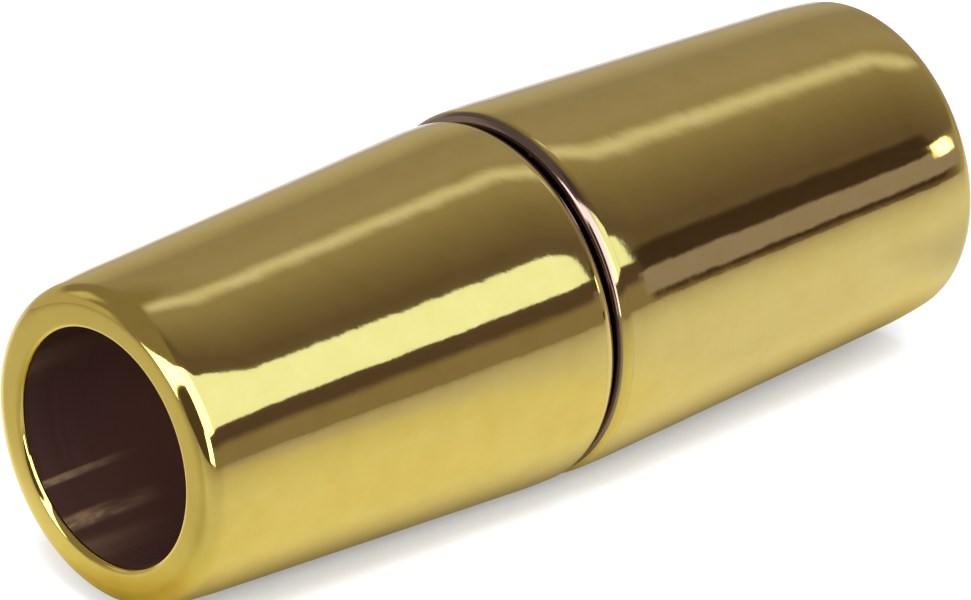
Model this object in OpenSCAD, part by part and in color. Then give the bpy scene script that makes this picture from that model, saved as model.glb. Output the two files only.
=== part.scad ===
// Barrel magnetic clasp for a round cord, closed and lying on its side.
// The clasp's axis runs along X, with the near half on the -X side and the far half on the +X side.
// The origin is the middle of the closed clasp, on the far half's axis.

/* [Shell] */
// Length of the closed clasp from end to end
clasp_length = 21; // [16:0.5:30]
// Diameter of the near half at the seam, if its flank ran straight to the rim
seam_d = 7.75; // [7.4:0.05:10]
// How much wider the far half is at the seam than the near half
rim_step = 0.1; // [0:0.02:0.3]
// Diameter of both halves at their outer ends, if their flanks ran straight to the end
end_d = 6.85; // [6:0.05:7.6]
// Radius of the rounding at the outer end
end_round = 0.45; // [0.2:0.05:0.7]
// Radius of the rounding at the seam
lip_round = 0.3; // [0.1:0.05:0.6]
// Radius of the gentle curve that leads from the flank into each rounding
shoulder_r = 12; // [8:0.5:20]
// How far from the seam that curve starts
seam_shoulder = 1.1; // [0.8:0.1:2]
// How far from the outer end that curve starts
end_shoulder = 1.5; // [1:0.1:3]
// Gap between the two mating faces when the clasp is closed
seam_gap = 0.08; // [0.04:0.01:0.2]

/* [Cord hole] */
// Diameter of the blind hole that the cord is glued into
cord_hole_d = 5; // [3:0.1:5.5]
// Metal left between that hole and the magnet pocket of the near half
web_t = 1; // [0.4:0.1:4]
// Radius of the rounding at the hole's mouth
mouth_round = 0.1; // [0.05:0.01:0.2]

/* [Magnets] */
// Diameter of each disc magnet
magnet_d = 5; // [3:0.1:6]
// Thickness of each disc magnet
magnet_t = 3; // [2:0.25:5]
// Radius of the rounding on a magnet's edges
magnet_round = 0.15; // [0.05:0.05:0.3]
// How far the far magnet stands out of the far half, to locate the near half
spigot_out = 0.4; // [0.2:0.05:0.8]
// Gap between the faces of the two magnets when the clasp is closed
magnet_gap = 0.05; // [0.03:0.01:0.1]
// Glue space round and behind each magnet
glue_gap = 0.05; // [0.02:0.01:0.1]
// Play of the far magnet in the mouth of the near half, all round
spigot_play = 0.08; // [0.05:0.01:0.15]
// Size of the bevel at the mouth of each magnet pocket
pocket_bevel = 0.1; // [0.05:0.01:0.2]

/* [Hidden] */

half_length = (clasp_length - seam_gap) / 2;
magnet_r = magnet_d / 2;
pocket_r = magnet_r + glue_gap;
// Both halves lie on the same surface, so the narrower one has the lower axis
near_drop = rim_step / 2;
// The near half's mouth takes the far magnet, which lies off its axis by near_drop
guide_r = magnet_r + near_drop + spigot_play;
guide_depth = spigot_out - seam_gap + magnet_gap;
near_pocket_depth = guide_depth + magnet_t + glue_gap;
far_pocket_depth = magnet_t - spigot_out + glue_gap;
// Both cord holes are as deep as the near half allows
cord_hole_depth = half_length - near_pocket_depth - web_t;
// The end's rounding leaves at least this much flat ring round the hole's mouth
LEAST_RING = 0.1;
end_rounding = min(end_round, (end_d - cord_hole_d) / 2 - mouth_round - LEAST_RING);

// Straight steps along a shoulder, along a rounding and round the clasp
SHOULDER_STEPS = 4;
ROUND_STEPS = 10;
$fn = 128;

gold = "#bfa552";
nickel = "#b9bab8";

function arc_points(centre, r, from, to, steps) = [
    for (i = [0 : steps])
        let (angle = from + (to - from) * i / steps)
        centre + r * [cos(angle), sin(angle)]
];

// Direction of a flank's outward normal, from the r axis
function flank_angle(rim_r, end_r) = atan((rim_r - end_r) / half_length);

// Centre, as [r, z], of the shoulder that leaves the flank at height z
function shoulder_centre(rim_r, end_r, z) =
    let (slope = flank_angle(rim_r, end_r))
    [rim_r - z * tan(slope), z] - shoulder_r * [cos(slope), sin(slope)];

// Centre of a rounding at height z that meets that shoulder smoothly from inside
function rounding_centre(shoulder, rounding, z) =
    [shoulder[0] + sqrt(pow(shoulder_r - rounding, 2) - pow(z - shoulder[1], 2)), z];

// Direction from the shoulder's centre to the rounding's, which is where the two meet
function meeting_angle(shoulder, rounding) =
    atan2(rounding[1] - shoulder[1], rounding[0] - shoulder[0]);

// Outside of one half as [r, z] points, from its mating face at z = 0 to its outer end
function outside(rim_r, end_r) =
    let (slope = flank_angle(rim_r, end_r))
    let (seam_side = shoulder_centre(rim_r, end_r, seam_shoulder))
    let (end_side = shoulder_centre(rim_r, end_r, half_length - end_shoulder))
    let (lip = rounding_centre(seam_side, lip_round, lip_round))
    let (end = rounding_centre(end_side, end_rounding, half_length - end_rounding))
    let (from = meeting_angle(seam_side, lip))
    let (to = meeting_angle(end_side, end))
    let (first = arc_points(seam_side, shoulder_r, from, slope, SHOULDER_STEPS))
    let (last = arc_points(end_side, shoulder_r, slope, to, SHOULDER_STEPS))
    concat(
        arc_points(lip, lip_round, -90, from, ROUND_STEPS),
        [for (i = [1 : SHOULDER_STEPS]) first[i]],
        [for (i = [0 : SHOULDER_STEPS - 1]) last[i]],
        arc_points(end, end_rounding, to, 90, ROUND_STEPS)
    );

// The cord hole as [r, z] points, from its mouth to the middle of its floor
function cord_hole() =
    let (hole_r = cord_hole_d / 2)
    let (mouth = [hole_r + mouth_round, half_length - mouth_round])
    concat(
        arc_points(mouth, mouth_round, 90, 180, ROUND_STEPS),
        [[hole_r, half_length - cord_hole_depth], [0, half_length - cord_hole_depth]]
    );

// A magnet pocket as [r, z] points, from the middle of its floor to its bevelled mouth
function pocket(depth) = [
    [0, depth],
    [pocket_r, depth],
    [pocket_r, pocket_bevel],
    [pocket_r + pocket_bevel, 0]
];

// The same, with a wider mouth that guides the other half's magnet
function guided_pocket(depth) = [
    [0, depth],
    [pocket_r, depth],
    [pocket_r, guide_depth],
    [guide_r, guide_depth],
    [guide_r, pocket_bevel],
    [guide_r + pocket_bevel, 0]
];

// Turns a profile given as [r, z] points about the clasp's axis, with z towards the side given, +1 or -1
module turned(points, side) {
    rotate([0, 90 * side, 0]) rotate_extrude() polygon(points);
}

// A disc magnet with rounded edges, from its front face at z = front, with its back deeper in the half
module disc_magnet(front, side) {
    back = front + magnet_t;
    rim = magnet_r - magnet_round;
    color(nickel)
        turned(concat(
            [[0, front]],
            arc_points([rim, front + magnet_round], magnet_round, -90, 0, ROUND_STEPS),
            arc_points([rim, back - magnet_round], magnet_round, 0, 90, ROUND_STEPS),
            [[0, back]]
        ), side);
}

module place_near() {
    translate([-seam_gap / 2, 0, -near_drop]) children();
}

module place_far() {
    translate([seam_gap / 2, 0, 0]) children();
}

module near_shell() {
    color(gold)
        place_near()
            turned(concat(outside(seam_d / 2, end_d / 2), cord_hole(), guided_pocket(near_pocket_depth)), -1);
}

module far_shell() {
    rim_r = seam_d / 2 + near_drop;
    color(gold)
        place_far()
            turned(concat(outside(rim_r, end_d / 2), cord_hole(), pocket(far_pocket_depth)), 1);
}

module near_magnet() {
    place_near() disc_magnet(guide_depth, -1);
}

module far_magnet() {
    place_far() disc_magnet(-spigot_out, 1);
}

near_shell();
near_magnet();
far_shell();
far_magnet();
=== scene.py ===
"""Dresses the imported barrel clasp: turned shells and magnets, gold and nickel plating, its studio and camera.

Lengths are in millimetres, or in the photograph's pixels where a name ends in PX, and angles are in degrees.
MM turns millimetres into Blender's metres. The clasp lies along X, with its near half on the -X side.
"""
import math

import bmesh
import bpy
from mathutils import Matrix, Vector


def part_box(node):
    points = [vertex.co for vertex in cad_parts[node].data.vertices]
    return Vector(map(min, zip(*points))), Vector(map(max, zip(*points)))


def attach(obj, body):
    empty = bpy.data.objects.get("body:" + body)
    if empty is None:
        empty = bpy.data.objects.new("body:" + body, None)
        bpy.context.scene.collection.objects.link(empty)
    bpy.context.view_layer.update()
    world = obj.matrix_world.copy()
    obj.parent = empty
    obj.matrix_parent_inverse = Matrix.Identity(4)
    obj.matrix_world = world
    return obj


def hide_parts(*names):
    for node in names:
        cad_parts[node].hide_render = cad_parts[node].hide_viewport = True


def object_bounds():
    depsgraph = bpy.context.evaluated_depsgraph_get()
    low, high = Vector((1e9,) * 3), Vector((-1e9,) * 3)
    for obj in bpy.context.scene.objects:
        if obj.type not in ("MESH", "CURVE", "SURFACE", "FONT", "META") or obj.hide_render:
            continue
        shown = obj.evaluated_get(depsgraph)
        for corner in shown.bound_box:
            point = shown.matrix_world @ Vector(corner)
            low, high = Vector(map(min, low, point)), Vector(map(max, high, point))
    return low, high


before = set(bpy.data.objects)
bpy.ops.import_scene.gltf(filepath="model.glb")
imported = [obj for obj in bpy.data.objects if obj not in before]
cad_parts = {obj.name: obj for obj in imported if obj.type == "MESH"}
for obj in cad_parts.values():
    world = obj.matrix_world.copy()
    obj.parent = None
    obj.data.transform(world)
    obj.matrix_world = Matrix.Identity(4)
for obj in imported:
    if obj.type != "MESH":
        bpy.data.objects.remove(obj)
CAD_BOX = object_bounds()

MM = 0.001

# The clasp's sizes, as in the part's own source
SEAM_D = 7.75
RIM_STEP = 0.1
END_D = 6.85
END_ROUND = 0.45
LIP_ROUND = 0.3
SHOULDER_R = 12.0
SEAM_SHOULDER = 1.1
END_SHOULDER = 1.5
CORD_HOLE_D = 5.0
WEB_T = 1.0
MAGNET_D = 5.0
MAGNET_T = 3.0
MAGNET_ROUND = 0.15
SPIGOT_OUT = 0.4
MAGNET_GAP = 0.05
SEAM_GAP = 0.08
GLUE_GAP = 0.05
SPIGOT_PLAY = 0.08
POCKET_BEVEL = 0.1

# Both halves lie on the same table, so the narrower one has the lower axis
NEAR_AXIS_DROP = RIM_STEP / 2
GUIDE_R = MAGNET_D / 2 + NEAR_AXIS_DROP + SPIGOT_PLAY
GUIDE_DEPTH = SPIGOT_OUT - SEAM_GAP + MAGNET_GAP
NEAR_POCKET_DEPTH = GUIDE_DEPTH + MAGNET_T + GLUE_GAP
FAR_POCKET_DEPTH = MAGNET_T - SPIGOT_OUT + GLUE_GAP

# The lip at the seam is worn to two faces, with a tight edge between these two tilts
LIP_EDGE_ROUND = 0.05
LIP_EDGE_FROM, LIP_EDGE_TO = 35.0, 60.0
# The edge of the cord hole's mouth is worn a little rounder than in the source
MOUTH_ROUND = 0.15
# How far the lip's painted seam shade reaches onto the mating face, and the plating into the cord hole
FACE_SHADE_REACH = 0.15
PLATED_DEPTH = 0.14

# How finely the turned pieces are divided: round the axis, and along each stretch of their profiles
SEGMENTS = 256
ROUND_STEPS = 14
LIP_STEPS = 6
SHOULDER_STEPS = 10
FLANK_STEPS = 18
WALL_STEPS = 8
FLOOR_STEPS = 5
# Edges that turn by more than this are kept sharp
SHARP_ANGLE = 25.0

# Camera, as fitted to the photograph: it looks from the front left and from above
VIEW_AZIMUTH = -41.97
VIEW_ELEVATION = 25.32
VIEW_DISTANCE = 270.0
IMAGE_WIDTH_PX = 971
SENSOR_WIDTH = 36.0
PX_PER_MM = 49.08
# How far right of and above the picture's middle the clasp's origin lies
ORIGIN_RIGHT_PX = 7.3
ORIGIN_UP_PX = 3.2


# Turned meshes

def arc(centre, radius, start, end, steps):
    """Points [r, z] of an arc from one angle to another, off the r axis."""
    angles = [math.radians(start + (end - start) * i / steps) for i in range(steps + 1)]
    return [(centre[0] + radius * math.cos(a), centre[1] + radius * math.sin(a)) for a in angles]


def between(a, b, steps):
    """Points strictly between a and b."""
    return [tuple(p + (q - p) * i / steps for p, q in zip(a, b)) for i in range(1, steps)]


def shoulder_centre(rim_r, slope, z):
    """Centre of the shoulder's curve that leaves a flank of this slope, in radians, at z."""
    return (rim_r - z * math.tan(slope) - SHOULDER_R * math.cos(slope), z - SHOULDER_R * math.sin(slope))


def rounding_centre(shoulder, rounding, z):
    """Centre, at z, of a rounding that lies inside the shoulder's curve and touches it."""
    return (shoulder[0] + math.sqrt((SHOULDER_R - rounding) ** 2 - (z - shoulder[1]) ** 2), z)


def meeting_angle(shoulder, rounding):
    """Angle at which two curves with these centres touch."""
    return math.degrees(math.atan2(rounding[1] - shoulder[1], rounding[0] - shoulder[0]))


def lip_points(centre, meets):
    """The lip at the seam, from the mating face to the angle where the shoulder starts, within LIP_ROUND."""
    low, high = math.radians(LIP_EDGE_FROM), math.radians(LIP_EDGE_TO)
    # How far the two faces have to reach along and across the lip, and how far each reaches for its radius
    along = LIP_ROUND - LIP_EDGE_ROUND * (math.sin(high) - math.sin(low))
    across = LIP_ROUND - LIP_EDGE_ROUND * (math.cos(low) - math.cos(high))
    outer_along, inner_along = math.sin(low), 1 - math.sin(high)
    outer_across, inner_across = 1 - math.cos(low), math.cos(high)
    determinant = outer_along * inner_across - inner_along * outer_across
    outer = (along * inner_across - across * inner_along) / determinant
    inner = (across * outer_along - along * outer_across) / determinant
    arcs = (
        (inner, -90, -LIP_EDGE_TO),
        (LIP_EDGE_ROUND, -LIP_EDGE_TO, -LIP_EDGE_FROM),
        (outer, -LIP_EDGE_FROM, 0),
    )
    points, middle, last = [], (centre[0], centre[1] - LIP_ROUND + inner), inner
    for radius, start, end in arcs:
        turn = math.radians(start)
        middle = (middle[0] + (last - radius) * math.cos(turn), middle[1] + (last - radius) * math.sin(turn))
        points += arc(middle, radius, start, end, LIP_STEPS)[bool(points):]
        last = radius
    return points + arc(centre, LIP_ROUND, 0, meets, LIP_STEPS)[1:]


def outside(rim_r, half_length):
    """Outside of one half as [r, z] points, from its mating face at z = 0 to its outer end."""
    end_r = END_D / 2
    slope = math.atan((rim_r - end_r) / half_length)
    tilt = math.degrees(slope)
    seam_side = shoulder_centre(rim_r, slope, SEAM_SHOULDER)
    end_side = shoulder_centre(rim_r, slope, half_length - END_SHOULDER)
    lip = rounding_centre(seam_side, LIP_ROUND, LIP_ROUND)
    end = rounding_centre(end_side, END_ROUND, half_length - END_ROUND)
    lip_meets = meeting_angle(seam_side, lip)
    end_meets = meeting_angle(end_side, end)
    first = arc(seam_side, SHOULDER_R, lip_meets, tilt, SHOULDER_STEPS)
    last = arc(end_side, SHOULDER_R, tilt, end_meets, SHOULDER_STEPS)
    return (
        lip_points(lip, lip_meets)
        + first[1:]
        + between(first[-1], last[0], FLANK_STEPS)
        + last[:-1]
        + arc(end, END_ROUND, end_meets, 90, ROUND_STEPS)
    )


def cord_hole(half_length, depth):
    """The cord hole, from its mouth to the middle of its floor."""
    hole_r = CORD_HOLE_D / 2
    mouth = arc((hole_r + MOUTH_ROUND, half_length - MOUTH_ROUND), MOUTH_ROUND, 90, 180, ROUND_STEPS)
    plated = (hole_r, half_length - PLATED_DEPTH)
    corner = (hole_r, half_length - depth)
    middle = (0, half_length - depth)
    return (
        mouth
        + [plated]
        + between(plated, corner, WALL_STEPS)
        + [corner]
        + between(corner, middle, FLOOR_STEPS)
        + [middle]
    )


def pocket(depth, guide_r=None):
    """A magnet pocket, from its floor's middle to its bevelled mouth, with a wider guide if one is given."""
    pocket_r = MAGNET_D / 2 + GLUE_GAP
    middle, corner = (0, depth), (pocket_r, depth)
    points = [middle] + between(middle, corner, FLOOR_STEPS) + [corner]
    if guide_r is None:
        mouth_r = pocket_r
    else:
        mouth_r = guide_r
        points += between(corner, (pocket_r, GUIDE_DEPTH), WALL_STEPS)
        points += [(pocket_r, GUIDE_DEPTH), (guide_r, GUIDE_DEPTH)]
    inner, outer = (mouth_r, POCKET_BEVEL), (mouth_r + POCKET_BEVEL, 0)
    points += between(points[-1], inner, WALL_STEPS)
    return points + [inner, outer]


def ring_at(bm, x, r, middle):
    """Vertices of a ring of radius r about an axis along X, or the single one on the axis where r is 0."""
    if r == 0:
        return [bm.verts.new((x, *middle))]
    turns = [2 * math.pi * i / SEGMENTS for i in range(SEGMENTS)]
    return [
        bm.verts.new((x, middle[0] + r * MM * math.sin(turn), middle[1] - r * MM * math.cos(turn)))
        for turn in turns
    ]


def join_rings(bm, uv, a, b, low, high):
    """Faces between ring a and ring b, which lie at low and high on the map for baking."""
    for i in range(SEGMENTS):
        j = (i + 1) % SEGMENTS
        u, w = i / SEGMENTS, (i + 1) / SEGMENTS
        if len(a) == 1:
            corners = [(a[0], (u + w) / 2, low), (b[j], w, high), (b[i], u, high)]
        elif len(b) == 1:
            corners = [(a[i], u, low), (a[j], w, low), (b[0], (u + w) / 2, high)]
        else:
            corners = [(a[i], u, low), (a[j], w, low), (b[j], w, high), (b[i], u, high)]
        face = bm.faces.new([corner[0] for corner in corners])
        face.smooth = True
        for loop, corner in zip(face.loops, corners):
            loop[uv].uv = (corner[1], corner[2])


def turned(name, profile, side, middle, start_x, marks):
    """Turns a profile of [r, z] points about an axis along X, into a mesh object with a neat map for baking.

    z runs towards the side given, +1 or -1, from start_x. The profile starts and ends on the axis.
    marks gives each point's values for the named attributes, which the materials read.
    """
    mesh = bpy.data.meshes.new(name)
    bm = bmesh.new()
    layers = {mark: bm.verts.layers.float.new(mark) for mark in marks}
    uv = bm.loops.layers.uv.new("OFBake")
    rings = []
    for k, (r, z) in enumerate(profile):
        ring = ring_at(bm, start_x + side * z * MM, r, middle)
        for vertex in ring:
            for mark, layer in layers.items():
                vertex[layer] = marks[mark][k]
        rings.append(ring)
    lengths = [0.0]
    for a, b in zip(profile, profile[1:]):
        lengths.append(lengths[-1] + math.dist(a, b))
    for k, (a, b) in enumerate(zip(rings, rings[1:])):
        join_rings(bm, uv, a, b, lengths[k] / lengths[-1], lengths[k + 1] / lengths[-1])
    bmesh.ops.recalc_face_normals(bm, faces=bm.faces)
    for edge in bm.edges:
        if len(edge.link_faces) == 2 and edge.calc_face_angle(0.0) > math.radians(SHARP_ANGLE):
            edge.smooth = False
    bm.to_mesh(mesh)
    bm.free()
    piece = bpy.data.objects.new(name, mesh)
    bpy.context.collection.objects.link(piece)
    return piece


def clamped(value):
    return min(1.0, max(0.0, value))


def lip_tilt(skin):
    """How far each point of a half's outside tilts to the mating face: 0 on the flank, 1 at the face."""
    tilts = []
    for k, (r, z) in enumerate(skin):
        after = skin[min(k + 1, len(skin) - 1)]
        tilt = math.degrees(math.atan2(after[0] - r, after[1] - z)) if z < LIP_ROUND else 0.0
        tilts.append(clamped(tilt / 90))
    return tilts


def bareness(r, depth):
    """How bare of plating the cord hole is at a depth, from 0 to 1. Its rounded mouth is plated."""
    return clamped(depth / PLATED_DEPTH) if r <= CORD_HOLE_D / 2 else 0.0


def axis_of(node):
    """The y and z of a turned node's axis, in metres, where the CAD has it."""
    low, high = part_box(node)
    return ((low.y + high.y) / 2, (low.z + high.z) / 2)


def shell(name, node, side, rim_r, pocket_points):
    """One half's shell, in place of its CAD node."""
    low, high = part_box(node)
    seam_x = high.x if side < 0 else low.x
    half_length = (high.x - low.x) / MM
    hole_depth = half_length - NEAR_POCKET_DEPTH - WEB_T
    skin = outside(rim_r, half_length)
    face = [(skin[0][0] - FACE_SHADE_REACH, 0.0)]
    hole = cord_hole(half_length, hole_depth)
    profile = pocket_points + face + skin + hole
    before_hole = [0.0] * (len(profile) - len(hole))
    marks = {
        "pocket": [float(k < len(pocket_points) - 1) for k in range(len(profile))],
        "tilt": [0.0] * (len(pocket_points) + len(face)) + lip_tilt(skin) + [0.0] * len(hole),
        "hole": before_hole + [bareness(r, half_length - z) for r, z in hole],
        "depth": before_hole + [(half_length - z) / hole_depth for r, z in hole],
    }
    piece = turned(name, profile, side, axis_of(node), seam_x, marks)
    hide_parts(node)
    return piece


def magnet(name, node, side):
    """One disc magnet, in place of its CAD node."""
    low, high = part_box(node)
    front_x = high.x if side < 0 else low.x
    rim = MAGNET_D / 2 - MAGNET_ROUND
    front = arc((rim, MAGNET_ROUND), MAGNET_ROUND, -90, 0, ROUND_STEPS)
    back = arc((rim, MAGNET_T - MAGNET_ROUND), MAGNET_ROUND, 0, 90, ROUND_STEPS)
    profile = (
        [(0, 0)]
        + between((0, 0), front[0], FLOOR_STEPS)
        + front
        + between(front[-1], back[0], WALL_STEPS)
        + back
        + between(back[-1], (0, MAGNET_T), FLOOR_STEPS)
        + [(0, MAGNET_T)]
    )
    piece = turned(name, profile, side, axis_of(node), front_x, {})
    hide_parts(node)
    return piece


# Shader helpers

class Graph:
    """Adds nodes to a node tree and links them, with short calls."""

    # Where a Mix node keeps its two inputs and its result, by kind of data
    MIX_SOCKETS = {"FLOAT": (2, 3, 0), "RGBA": (6, 7, 2)}

    def __init__(self, tree):
        self.nodes = tree.nodes
        self.links = tree.links

    def put(self, socket, value):
        """Feeds a socket from another socket, or sets its value."""
        if isinstance(value, bpy.types.NodeSocket):
            self.links.new(value, socket)
        elif value is not None:
            socket.default_value = value

    def node(self, kind, inputs=None, **settings):
        """A new node with these settings, and its inputs fed by name or number."""
        made = self.nodes.new(kind)
        for key, value in settings.items():
            setattr(made, key, value)
        for key, value in (inputs or {}).items():
            self.put(made.inputs[key], value)
        return made

    def math(self, operation, a, b, clamp=False):
        return self.node("ShaderNodeMath", {0: a, 1: b}, operation=operation, use_clamp=clamp).outputs[0]

    def dot(self, a, b):
        return self.node("ShaderNodeVectorMath", {0: a, 1: b}, operation="DOT_PRODUCT").outputs["Value"]

    def scaled(self, vector, scale):
        made = self.node("ShaderNodeVectorMath", {0: vector, 1: scale}, operation="MULTIPLY")
        return made.outputs["Vector"]

    def stretched(self, place, along, across):
        """A place scaled by one amount along the X axis and by another across it."""
        scale = self.node("ShaderNodeCombineXYZ", {"X": along, "Y": across, "Z": across})
        return self.scaled(place, scale.outputs["Vector"])

    def facing(self, place, side):
        """How squarely a place faces a side of the X axis, from -1 to 1."""
        off_axis = self.scaled(place, (0.0, 1.0, 1.0))
        made = self.node("ShaderNodeVectorMath", {0: off_axis}, operation="NORMALIZE")
        return self.dot(made.outputs["Vector"], side)

    def remap(self, value, low, high, to_low=0.0, to_high=1.0, smooth=True):
        made = self.node(
            "ShaderNodeMapRange",
            {"Value": value, "From Min": low, "From Max": high, "To Min": to_low, "To Max": to_high},
            interpolation_type="SMOOTHSTEP" if smooth else "LINEAR",
        )
        return made.outputs["Result"]

    def mix(self, factor, a, b, kind="RGBA", blend="MIX"):
        first, second, result = self.MIX_SOCKETS[kind]
        inputs = {"Factor": factor, first: a, second: b}
        return self.node("ShaderNodeMix", inputs, data_type=kind, blend_type=blend).outputs[result]

    def noise(self, vector, scale, detail=2.0, roughness=0.5):
        inputs = {"Vector": vector, "Scale": scale, "Detail": detail, "Roughness": roughness}
        return self.node("ShaderNodeTexNoise", inputs).outputs["Fac"]

    def ramp(self, value, stops):
        """A colour ramp through stops of (place, colour)."""
        made = self.node("ShaderNodeValToRGB", {"Fac": value})
        elements = made.color_ramp.elements
        while len(elements) < len(stops):
            elements.new(1.0)
        for element, (place, colour) in zip(elements, stops):
            element.position = place
            element.color = colour
        return made.outputs["Color"]


def grey(level):
    return (level, level, level, 1.0)


def fresh_graph(owner):
    """The empty node graph of a new material or world."""
    owner.use_nodes = True
    owner.node_tree.nodes.clear()
    return Graph(owner.node_tree)


FLOAT, VECTOR = "NodeSocketFloat", "NodeSocketVector"


def group(name, inputs, result):
    """A new shader node group with one output. Returns it, its graph, its inputs and its output."""
    tree = bpy.data.node_groups.new(name, "ShaderNodeTree")
    for label, kind in inputs.items():
        tree.interface.new_socket(name=label, in_out="INPUT", socket_type=kind)
    tree.interface.new_socket(name=result, in_out="OUTPUT", socket_type=FLOAT)
    graph = Graph(tree)
    entry = graph.node("NodeGroupInput").outputs
    leave = graph.node("NodeGroupOutput").inputs[result]
    return tree, graph, entry, leave


def placed(graph, tree, **inputs):
    """A copy of a node group in another graph, with its inputs fed. Returns its output."""
    return graph.node("ShaderNodeGroup", inputs, node_tree=tree).outputs[0]


# Waves of hand polishing: how many fine ones lie along a slow one, and how high they are beside it
FINE_PER_SLOW = 3.7
FINE_HEIGHT = 0.18
# Distance from a speck's middle at which it fades and ends, in parts of the space between specks
SPECK_FADES, SPECK_ENDS = 0.05, 0.14


def polish_group():
    """Slow unevenness that hand polishing leaves, as a height from 0 to 1."""
    tree, g, entry, leave = group("polish unevenness", {"Place": VECTOR, "Scale": FLOAT}, "Height")
    slow = g.noise(entry["Place"], entry["Scale"], detail=1.0)
    fine = g.noise(entry["Place"], g.math("MULTIPLY", entry["Scale"], FINE_PER_SLOW))
    g.put(leave, g.math("ADD", slow, g.math("MULTIPLY", fine, FINE_HEIGHT)))
    return tree


def grain_group():
    """Fine speckle of a plated surface: a value that is 0.5 on average."""
    inputs = {"Place": VECTOR, "Scale": FLOAT, "Contrast": FLOAT}
    tree, g, entry, leave = group("plating grain", inputs, "Value")
    speckle = g.noise(entry["Place"], entry["Scale"], detail=3.0, roughness=0.65)
    centred = g.math("MULTIPLY", g.math("SUBTRACT", speckle, 0.5), entry["Contrast"])
    g.put(leave, g.math("ADD", centred, 0.5, clamp=True))
    return tree


def turning_group():
    """Marks of the lathe's tool: rings about the X axis, as a height from 0 to 1."""
    inputs = {"Place": VECTOR, "Spacing": FLOAT, "Drift": FLOAT}
    tree, g, entry, leave = group("turning marks", inputs, "Height")
    place = g.stretched(entry["Place"], entry["Spacing"], entry["Drift"])
    g.put(leave, g.noise(place, 1.0, roughness=0.6))
    return tree


def speck_group():
    """Sparse tiny specks of dust and pits: a mask from 0 to 1."""
    inputs = {"Place": VECTOR, "Scale": FLOAT, "Amount": FLOAT}
    tree, g, entry, leave = group("specks", inputs, "Mask")
    where = {"Vector": entry["Place"], "Scale": entry["Scale"]}
    cells = g.node("ShaderNodeTexVoronoi", where, feature="F1").outputs
    dot = g.remap(cells["Distance"], SPECK_FADES, SPECK_ENDS, 1.0, 0.0)
    pick = g.node("ShaderNodeSeparateColor", {"Color": cells["Color"]}).outputs["Red"]
    chosen = g.math("LESS_THAN", pick, entry["Amount"])
    g.put(leave, g.math("MULTIPLY", dot, chosen))
    return tree


def streak_group():
    """Long faint streaks along the X axis, as a value from 0 to 1."""
    inputs = {"Place": VECTOR, "Along": FLOAT, "Across": FLOAT}
    tree, g, entry, leave = group("axial streaks", inputs, "Value")
    place = g.stretched(entry["Place"], entry["Along"], entry["Across"])
    g.put(leave, g.noise(place, 1.0, roughness=0.55))
    return tree


def drag_group():
    """A mark that a tool dragged along a hole about the X axis, on the side given: a mask from 0 to 1."""
    inputs = {"Place": VECTOR, "Side": VECTOR, "Width": FLOAT}
    tree, g, entry, leave = group("drag mark", inputs, "Mask")
    edge = g.math("SUBTRACT", 1.0, entry["Width"])
    g.put(leave, g.remap(g.facing(entry["Place"], entry["Side"]), edge, 1.0))
    return tree


POLISH = polish_group()
GRAIN = grain_group()
TURNING = turning_group()
SPECKS = speck_group()
STREAKS = streak_group()
DRAG = drag_group()


# Finishes

def new_material(name):
    """A new material. Returns it, its graph, a point's place in metres and the inputs of its surface."""
    material = bpy.data.materials.new(name)
    g = fresh_graph(material)
    place = g.node("ShaderNodeTexCoord").outputs["Object"]
    surface = g.node("ShaderNodeBsdfPrincipled")
    g.node("ShaderNodeOutputMaterial", {"Surface": surface.outputs["BSDF"]})
    return material, g, place, surface.inputs


# The scales of grain, waves, marks and streaks below are in features a metre

# A side of the clasp's axis is given as an angle above -Y.
# The side where the lip's painted seam shade is darkest, and the angles off it between which it lessens
SEAM_SHADE_SIDE = 95
SHADE_MOST_ANGLE, SHADE_LEAST_ANGLE = 45, 98
# Tilts to the mating face between which the painted seam shade begins and is full: on its darkest side, and on
# the other
MOST_SHADED_TILTS = (8, 20)
LEAST_SHADED_TILTS = (28, 42)

# Pale marks down the wall of the cord hole: side, and width as 1 less the cosine of half the mark's angle
DRAG_MARKS = ((219, 0.0008), (241, 0.004))
# How much of such a mark the speckle leaves, and the levels of speckle between which that rises
MARK_LEFT = (0.15, 0.9)
MARK_SPECKLE = (0.30, 0.70)
# Fainter streaks show between these levels, and up to this strength
STREAK_LEVELS = (0.50, 0.80)
STREAK_STRENGTH = 0.25
# Parts of the hole's depth between which all of them fade, and over which the brown is painted paler: painted
# light that makes up for the shade deeper in the hole
STREAKS_FADE = (0.02, 0.50)
BROWN_PAINTED_PALER = (0.0, 0.8)
# Range of the bare hole's roughness, the levels of its turning marks over which it rises,
# and what a pale streak takes off
HOLE_ROUGHNESS = (0.34, 0.50)
HOLE_RING_LEVELS = (0.3, 0.7)
STREAK_POLISH = 0.16
HOLE_METALLIC = 0.2

# Range of the gold's roughness over its grain, and what specks and the lip's painted seam shade add to it
GOLD_ROUGHNESS = (0.035, 0.075)
SPECK_ROUGHNESS = 0.25
SEAM_SHADE_ROUGHNESS = 0.05
# Height of the waves in the gold, and of the turning marks beside them, outside and in the bare hole
GOLD_BUMP = 0.0045
OUTER_RINGS = 0.012
HOLE_RINGS = 0.7

NICKEL_ROUGHNESS = (0.17, 0.27)
NICKEL_SPECK_ROUGHNESS = 0.2
NICKEL_BUMP = 0.003

# Linear colours
GOLD = (0.660, 0.515, 0.138, 1.0)
GOLD_DEEP = (0.610, 0.462, 0.104, 1.0)
# Dull, neutral colour of the lip at the seam: painted shade of the seam, darkest on its upper side
PAINTED_SEAM_SHADE = (0.250, 0.180, 0.140, 1.0)
BARE_BROWN = (0.038, 0.016, 0.012, 1.0)
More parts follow.
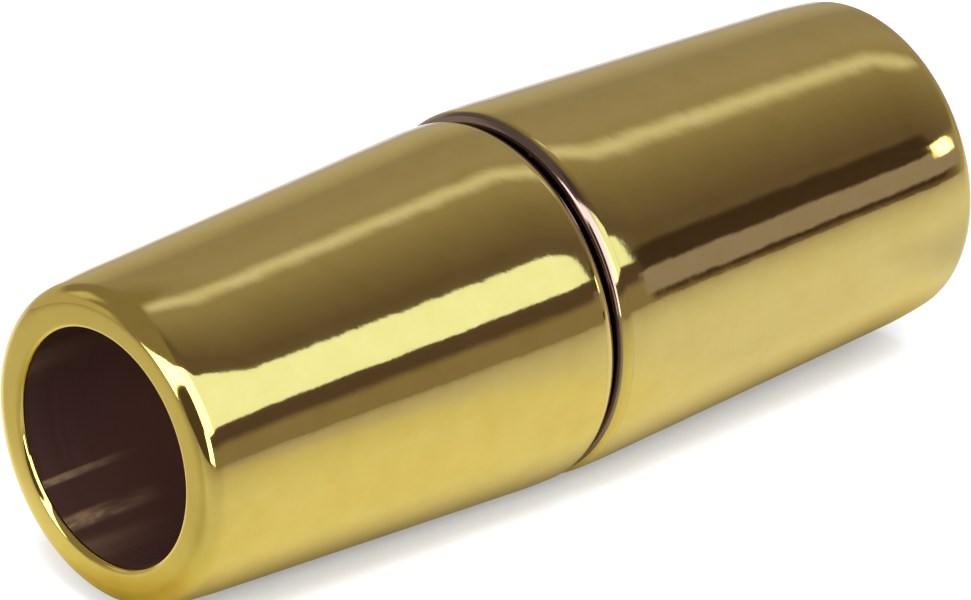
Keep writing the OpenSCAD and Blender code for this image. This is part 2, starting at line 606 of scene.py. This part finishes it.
# Paler brown deep in the cord hole: painted light against the shade there
BARE_DEEP_PAINTED_LIGHT = (0.125, 0.050, 0.037, 1.0)
BARE_STREAK = (0.340, 0.220, 0.120, 1.0)
POCKET_BRASS = (0.420, 0.300, 0.110, 1.0)
NICKEL = (0.610, 0.580, 0.530, 1.0)
NICKEL_DEEP = (0.520, 0.490, 0.440, 1.0)


def axis_side(angle):
    """Unit vector square to the X axis, at an angle above -Y."""
    turn = math.radians(angle)
    return (0.0, -math.cos(turn), math.sin(turn))


def painted_seam_shade_mask(g, place, tilt):
    """Mask of the lip's painted seam shade, from its tilt to the mating face. It reaches furthest out on the
    upper side.
    """
    limits = [math.cos(math.radians(angle)) for angle in (SHADE_LEAST_ANGLE, SHADE_MOST_ANGLE)]
    upper = g.remap(g.facing(place, axis_side(SEAM_SHADE_SIDE)), *limits)
    begins, full = [
        g.remap(upper, 0.0, 1.0, least / 90, most / 90, smooth=False)
        for least, most in zip(LEAST_SHADED_TILTS, MOST_SHADED_TILTS)
    ]
    return g.remap(tilt, begins, full)


def hole_streaks(g, place, depth):
    """Mask of the pale marks on the wall of the cord hole, which start at its mouth and fade inwards."""
    streaks = placed(g, STREAKS, Place=place, Along=70.0, Across=900.0)
    speckle = placed(g, STREAKS, Place=place, Along=1400.0, Across=5000.0)
    left = g.remap(speckle, *MARK_SPECKLE, *MARK_LEFT)
    mask = g.math("MULTIPLY", g.remap(streaks, *STREAK_LEVELS), STREAK_STRENGTH)
    for side, width in DRAG_MARKS:
        mark = placed(g, DRAG, Place=place, Side=axis_side(side), Width=width)
        mask = g.math("MAXIMUM", mask, g.math("MULTIPLY", mark, left))
    return g.math("MULTIPLY", mask, g.remap(depth, *STREAKS_FADE, 1.0, 0.0))


def plated_brass(name):
    """Polished gold plating outside, with painted shade on the lip at the seam, and a dull unplated cord hole
    painted paler deeper in, as painted light.
    """
    material, g, place, surface = new_material(name)
    tilt, pocket, hole, depth = [
        g.node("ShaderNodeAttribute", attribute_name=mark).outputs["Fac"]
        for mark in ("tilt", "pocket", "hole", "depth")
    ]
    grain = placed(g, GRAIN, Place=place, Scale=7000.0, Contrast=1.2)
    mottle = placed(g, GRAIN, Place=place, Scale=1300.0, Contrast=1.6)
    polish = placed(g, POLISH, Place=place, Scale=1250.0)
    rings = placed(g, TURNING, Place=place, Spacing=26000.0, Drift=40.0)
    hole_rings = placed(g, TURNING, Place=place, Spacing=9000.0, Drift=250.0)
    specks = placed(g, SPECKS, Place=place, Scale=1500.0, Amount=0.05)
    seam_shade = painted_seam_shade_mask(g, place, tilt)
    streak = hole_streaks(g, place, depth)

    # The lip's gold gives way to a dull colour that paints the seam's shade, darkest on the upper side
    gold = g.mix(seam_shade, g.mix(mottle, GOLD_DEEP, GOLD), PAINTED_SEAM_SHADE)
    # The bare brown is painted paler deeper in the hole, as painted light against the shade there
    brown = g.mix(g.remap(depth, *BROWN_PAINTED_PALER), BARE_BROWN, BARE_DEEP_PAINTED_LIGHT)
    brown = g.mix(streak, brown, BARE_STREAK)
    g.put(surface["Base Color"], g.mix(hole, g.mix(pocket, gold, POCKET_BRASS), brown))
    g.put(surface["Metallic"], g.remap(hole, 0.0, 1.0, 1.0, HOLE_METALLIC))

    sheen = g.remap(grain, 0.0, 1.0, *GOLD_ROUGHNESS, smooth=False)
    sheen = g.math("ADD", sheen, g.math("MULTIPLY", specks, SPECK_ROUGHNESS))
    sheen = g.math("ADD", sheen, g.math("MULTIPLY", seam_shade, SEAM_SHADE_ROUGHNESS))
    dull = g.remap(hole_rings, *HOLE_RING_LEVELS, *HOLE_ROUGHNESS)
    dull = g.math("SUBTRACT", dull, g.math("MULTIPLY", streak, STREAK_POLISH))
    g.put(surface["Roughness"], g.mix(hole, sheen, dull, kind="FLOAT"))

    outer_height = g.math("ADD", polish, g.math("MULTIPLY", rings, OUTER_RINGS))
    inner_height = g.math("MULTIPLY", hole_rings, HOLE_RINGS)
    height = g.mix(hole, outer_height, inner_height, kind="FLOAT")
    bump = g.node("ShaderNodeBump", {"Distance": GOLD_BUMP * MM, "Height": height})
    g.put(surface["Normal"], bump.outputs["Normal"])
    return material


def nickel_plate(name):
    """Ground and nickel plated magnet."""
    material, g, place, surface = new_material(name)
    grain = placed(g, GRAIN, Place=place, Scale=6000.0, Contrast=1.4)
    mottle = placed(g, GRAIN, Place=place, Scale=900.0, Contrast=1.8)
    polish = placed(g, POLISH, Place=place, Scale=1500.0)
    specks = placed(g, SPECKS, Place=place, Scale=2200.0, Amount=0.1)
    g.put(surface["Metallic"], 1.0)
    g.put(surface["Base Color"], g.mix(mottle, NICKEL_DEEP, NICKEL))
    sheen = g.remap(grain, 0.0, 1.0, *NICKEL_ROUGHNESS, smooth=False)
    g.put(surface["Roughness"], g.math("ADD", sheen, g.math("MULTIPLY", specks, NICKEL_SPECK_ROUGHNESS)))
    bump = g.node("ShaderNodeBump", {"Distance": NICKEL_BUMP * MM, "Height": polish})
    g.put(surface["Normal"], bump.outputs["Normal"])
    return material


# Studio

def direction(azimuth, elevation):
    """Unit vector towards a place in the studio. Azimuth 0 is -Y and 90 is +X."""
    a, e = math.radians(azimuth), math.radians(elevation)
    return Vector((math.sin(a) * math.cos(e), -math.cos(a) * math.cos(e), math.sin(e)))


# A direction that faces a panel less squarely than this misses it
LEAST_FACING = 0.001


def light_panel_group():
    """Mask of a flat soft-edged panel, seen in the direction given, for the studio's surroundings."""
    vectors = dict.fromkeys(("Direction", "Facing", "Across", "Up"), VECTOR)
    extents = dict.fromkeys(("Left", "Right", "Bottom", "Top", "Edge"), FLOAT)
    tree, g, entry, leave = group("light panel", vectors | extents, "Mask")
    depth = g.dot(entry["Direction"], entry["Facing"])
    ahead = g.math("GREATER_THAN", depth, LEAST_FACING)
    depth = g.math("MAXIMUM", depth, LEAST_FACING)
    x = g.math("DIVIDE", g.dot(entry["Direction"], entry["Across"]), depth)
    y = g.math("DIVIDE", g.dot(entry["Direction"], entry["Up"]), depth)
    mask = ahead
    for value, low, high in ((x, "Left", "Right"), (y, "Bottom", "Top")):
        for limit, sign in ((entry[low], 1.0), (entry[high], -1.0)):
            past = g.math("MULTIPLY", g.math("SUBTRACT", value, limit), sign)
            edge = g.math("DIVIDE", past, entry["Edge"])
            mask = g.math("MULTIPLY", mask, g.remap(edge, -1.0, 1.0))
    g.put(leave, mask)
    return tree


PANEL = light_panel_group()


def facing_basis(azimuth, elevation, roll=0.0):
    """Axes of a panel that faces the clasp from this direction: towards it, across to the right, and up."""
    facing = direction(azimuth, elevation)
    across = Vector((0, 0, 1)).cross(facing).normalized()
    turn = Matrix.Rotation(math.radians(roll), 3, facing)
    return facing, turn @ across, turn @ facing.cross(across)


def spanning_basis(start, end):
    """Axes of a panel that spans two directions, given as (azimuth, elevation), along its across axis."""
    a, b = direction(*start), direction(*end)
    facing = (a + b).normalized()
    across = (b - a).normalized()
    return facing, across, facing.cross(across)


def panel(graph, heading, basis, left, right, bottom, top, edge):
    """Mask of a panel. Its extents and the softness of its edges are in degrees off its middle ray."""
    left, right, bottom, top, edge = [math.tan(math.radians(v)) for v in (left, right, bottom, top, edge)]
    facing, across, up = basis
    return placed(
        graph, PANEL, Direction=heading, Facing=facing, Across=across, Up=up,
        Left=left, Right=right, Bottom=bottom, Top=top, Edge=edge,
    )


# Colours of the lights
SOFTBOX = (1.41, 1.69, 2.55, 1)
SOFTBOX_CORE = (4.2, 4.4, 4.9, 1)
LAMP = (5.0, 5.2, 5.8, 1)
# An extent that cuts nothing off a panel
WIDE = 85

BACK_RIGHT = direction(150, 5)
# Walls of the room: place on the ramp from the front left to the back right, colour
WALLS = [
    (0.00, (0.30, 0.26, 0.25, 1)),
    (0.20, (0.27, 0.23, 0.22, 1)),
    (0.30, (0.20, 0.16, 0.17, 1)),
    (0.45, (0.18, 0.14, 0.18, 1)),
    (0.60, (0.31, 0.27, 0.30, 1)),
    (0.70, (0.42, 0.38, 0.42, 1)),
    (0.86, (0.47, 0.43, 0.54, 1)),
    (0.97, (0.41, 0.37, 0.37, 1)),
    (1.00, (0.60, 0.55, 0.43, 1)),
]
# What stands in the room, each over the ones before: axes, left, right, bottom, top, softness, colour
ROOM = {
    "back left wall": (facing_basis(-140, 40), -55, 50, -50, 50, 12, (0.33, 0.29, 0.27, 1)),
    "back left window": (facing_basis(-155, 22), -10, 10, -10, 10, 6, (0.80, 0.78, 0.73, 1)),
    "back horizon": (facing_basis(-160, 0), -42, 32, -12, 13, 5, (0.66, 0.61, 0.52, 1)),
    "right horizon": (facing_basis(68, 4), -14, 14, -16, 9, 4, (0.55, 0.52, 0.55, 1)),
    "front gap": (facing_basis(5, 5), -50, 41, -14, 18.5, 2.5, (0.13, 0.093, 0.13, 1)),
    "left gap": (facing_basis(-68, 8), -30, 30, -22, 24, 2, (0.11, 0.085, 0.09, 1)),
    "front horizon": (facing_basis(10, 0), -45, 34, -12, 7.9, 3, (0.35, 0.30, 0.33, 1)),
    "side flag": (facing_basis(47, 16), -5, 3.5, -20, 5.5, 1.6, (0.07, 0.045, 0.06, 1)),
    "low side glow": (facing_basis(49, 5), -8.5, 9, -6, 5.5, 0.9, (0.42, 0.38, 0.68, 1)),
    "small side light": (facing_basis(52, 10), -2.6, 2.6, -3.2, 3.6, 0.9, LAMP),
    "tube": (spanning_basis((92, 42), (126, 57)), -19, 16, -3.3, 3.3, 3.5, (0.92, 0.95, 1.38, 1)),
    "left strip light": (spanning_basis((-112, -2), (-84, 28)), -27, 27, -6.5, 6.5, 1, LAMP),
    "left arch light": (spanning_basis((-84, 28), (-48, 47)), -16, 16, -6, 6, 1, LAMP),
    "standing light": (facing_basis(-34, 5), -9, 10, -9, 8, 1, LAMP),
}
# The main softbox is what lies inside all three of these
SOFTBOX_FRAMES = [
    (facing_basis(20, 36), -57, 21.1, -18.1, 60),
    (facing_basis(20, 36, 33.6), -WIDE, 16, -WIDE, WIDE),
    (facing_basis(20, 36, -31.4), -WIDE, WIDE, -WIDE, 16.4),
]
SOFTBOX_EDGE = 0.6
# Its brighter part, where its lamps are
CORE_FRAME = (facing_basis(20, 36), -70, -16, -60, 70, 4)
# How pale the room is to the table and other dull surfaces, and to the camera
DULL_ROOM = grey(0.8)
SEEN_ROOM = grey(1.0)


def make_surroundings():
    """The room round the clasp, which its metal reflects. To the camera it is plain and white."""
    world = bpy.data.worlds.new("studio")
    bpy.context.scene.world = world
    g = fresh_graph(world)
    heading = g.node("ShaderNodeTexCoord").outputs["Generated"]
    colour = g.ramp(g.remap(g.dot(heading, BACK_RIGHT), -1.0, 1.0, smooth=False), WALLS)
    for basis, left, right, bottom, top, edge, shade in ROOM.values():
        colour = g.mix(panel(g, heading, basis, left, right, bottom, top, edge), colour, shade)
    inside = 1.0
    for basis, left, right, bottom, top in SOFTBOX_FRAMES:
        inside = g.math("MULTIPLY", panel(g, heading, basis, left, right, bottom, top, SOFTBOX_EDGE), inside)
    colour = g.mix(inside, colour, g.mix(panel(g, heading, *CORE_FRAME), SOFTBOX, SOFTBOX_CORE))

    ray = g.node("ShaderNodeLightPath").outputs
    colour = g.mix(ray["Is Camera Ray"], colour, SEEN_ROOM)
    colour = g.mix(ray["Is Diffuse Ray"], colour, DULL_ROOM)
    backdrop = g.node("ShaderNodeBackground", {"Color": colour, "Strength": 1.0})
    g.node("ShaderNodeOutputWorld", {"Surface": backdrop.outputs["Background"]})


# The table: its radius, how finely it is divided, and its colour to the camera
TABLE_R = 55.0
TABLE_RINGS = 24
TABLE_SPOKES = 96
SEEN_TABLE = grey(0.94)
# Painted light that reflections find on it: a pool of light fading out from the clasp, with a painted contact
# shadow right by it, warmed by painted light off the gold. Place on the ramp from the clasp out to TABLE_R,
# colour
TABLE_PAINTED_LIGHT = [
    (0.00, (0.36, 0.30, 0.08, 1)),
    (0.03, (0.53, 0.46, 0.22, 1)),
    (0.05, (0.67, 0.64, 0.46, 1)),
    (0.06, (0.69, 0.69, 0.58, 1)),
    (0.10, (0.72, 0.72, 0.69, 1)),
    (0.16, (0.71, 0.71, 0.70, 1)),
    (0.42, (0.55, 0.53, 0.53, 1)),
    (1.00, (0.31, 0.27, 0.29, 1)),
]
# Patches of painted shade, and of cooler painted light, that reflections find on it: what the colour is
# multiplied by, and the x and the y between which each sets in
TABLE_PAINTED_SHADE_PATCHES = {
    "off the near end": ((0.72, 0.70, 0.62, 1), (-12, -15), (-6, -1)),
    "front right": ((0.91, 0.93, 1.20, 1), (1.5, 6.5), (-1.5, -5)),
    "off the far end": ((0.80, 0.80, 0.84, 1), (11, 13.5), (-9, -4)),
}


def table_mesh():
    """A flat disc at the height of the clasp's underside, divided more finely near its middle."""
    level = CAD_BOX[0].z
    mesh = bpy.data.meshes.new("floor")
    bm = bmesh.new()
    middle = bm.verts.new((0, 0, level))
    turns = [2 * math.pi * i / TABLE_SPOKES for i in range(TABLE_SPOKES)]
    last = None
    for k in range(1, TABLE_RINGS + 1):
        reach = TABLE_R * MM * (k / TABLE_RINGS) ** 2
        ring = [bm.verts.new((reach * math.cos(turn), reach * math.sin(turn), level)) for turn in turns]
        for i in range(TABLE_SPOKES):
            j = (i + 1) % TABLE_SPOKES
            bm.faces.new([middle, ring[i], ring[j]] if last is None else [last[i], ring[i], ring[j], last[j]])
        last = ring
    bm.to_mesh(mesh)
    bm.free()
    return mesh


def pale_table():
    """Dull and pale to the camera. Reflections find painted light on it: a pool of light that darkens away from
    the clasp, as a lit table does, a painted contact shadow warmed by the gold right by it, and patches of
    painted shade and cooler painted light.
    """
    material = bpy.data.materials.new("pale table")
    g = fresh_graph(material)
    place = g.node("ShaderNodeTexCoord").outputs["Object"]
    apart = g.node("ShaderNodeSeparateXYZ", {"Vector": place}).outputs
    from_middle = g.node("ShaderNodeMath", {0: apart["X"]}, operation="ABSOLUTE").outputs[0]
    past_end = g.math("MAXIMUM", g.math("SUBTRACT", from_middle, CAD_BOX[1].x), 0.0)
    away = g.node("ShaderNodeCombineXYZ", {"X": past_end, "Y": apart["Y"]}).outputs["Vector"]
    reach = g.node("ShaderNodeVectorMath", {0: away}, operation="LENGTH").outputs["Value"]
    # For reflections the table carries painted light: a pool fading from the clasp, and a painted contact
    # shadow warmed by the gold beside it
    painted_light = g.ramp(g.remap(reach, 0.0, TABLE_R * MM, smooth=False), TABLE_PAINTED_LIGHT)
    # Patches of painted shade, and of cooler painted light
    for shade, (x_start, x_end), (y_start, y_end) in TABLE_PAINTED_SHADE_PATCHES.values():
        along = g.remap(apart["X"], x_start * MM, x_end * MM)
        across = g.remap(apart["Y"], y_start * MM, y_end * MM)
        painted_light = g.mix(g.math("MULTIPLY", along, across), painted_light, shade, blend="MULTIPLY")
    seen = g.node("ShaderNodeLightPath").outputs["Is Camera Ray"]
    colour = g.mix(seen, painted_light, SEEN_TABLE)
    surface = g.node("ShaderNodeBsdfDiffuse", {"Color": colour, "Roughness": 1.0})
    g.node("ShaderNodeOutputMaterial", {"Surface": surface.outputs["BSDF"]})
    return material


def make_floor():
    floor = bpy.data.objects.new("floor", table_mesh())
    bpy.context.collection.objects.link(floor)
    floor.data.materials.append(pale_table())


# Lights that the table and the dull cord hole feel: where they stand, their strength and how wide they look.
# The polished metal reflects the panels of the room instead
LAMPS = {
    "key": (direction(-30, 66), 2.5, 40),
    "fill": (direction(-52, 20), 1.0, 25),
}


def make_lamps():
    """Sun lamps, so only where they point counts."""
    for name, (heading, energy, spread) in LAMPS.items():
        lamp = bpy.data.lights.new(name, "SUN")
        lamp.energy = energy
        lamp.angle = math.radians(spread)
        light = bpy.data.objects.new(name, lamp)
        light.rotation_mode = "QUATERNION"
        light.rotation_quaternion = heading.to_track_quat("Z", "Y")
        light.visible_glossy = False
        bpy.context.collection.objects.link(light)


def make_camera():
    """The camera that took the photograph, as fitted to it."""
    back = direction(VIEW_AZIMUTH, VIEW_ELEVATION)
    right = Vector((0, 0, 1)).cross(back).normalized()
    up = back.cross(right)
    aim = -(ORIGIN_RIGHT_PX * right + ORIGIN_UP_PX * up) / PX_PER_MM * MM
    data = bpy.data.cameras.new("camera")
    data.sensor_width = SENSOR_WIDTH
    data.lens = PX_PER_MM * SENSOR_WIDTH * VIEW_DISTANCE / IMAGE_WIDTH_PX
    data.clip_start = 0.01
    data.clip_end = 10.0
    camera = bpy.data.objects.new("camera", data)
    turn = Matrix((right, up, back)).transposed().to_4x4()
    camera.matrix_world = Matrix.Translation(aim + back * VIEW_DISTANCE * MM) @ turn
    bpy.context.collection.objects.link(camera)
    bpy.context.scene.camera = camera


# The clasp

near_shell = shell("near_half_shell", "near_shell", -1, SEAM_D / 2, pocket(NEAR_POCKET_DEPTH, GUIDE_R))
far_shell = shell("far_half_shell", "far_shell", 1, SEAM_D / 2 + NEAR_AXIS_DROP, pocket(FAR_POCKET_DEPTH))
near_magnet = magnet("near_half_magnet", "near_magnet", -1)
far_magnet = magnet("far_half_magnet", "far_magnet", 1)

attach(near_shell, "near_half")
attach(near_magnet, "near_half")
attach(far_shell, "far_half")
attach(far_magnet, "far_core")

gold = plated_brass("gold plated brass")
nickel = nickel_plate("nickel plated magnet")
finishes = (
    (near_shell, "near_shell", gold),
    (far_shell, "far_shell", gold),
    (near_magnet, "near_magnet", nickel),
    (far_magnet, "far_magnet", nickel),
)
for piece, node, finish in finishes:
    piece.data.materials.append(finish)
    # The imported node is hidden, and wears the same finish
    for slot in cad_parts[node].material_slots:
        slot.material = finish

make_surroundings()
make_floor()
make_lamps()
make_camera()
bpy.context.scene.view_settings.view_transform = "Standard"
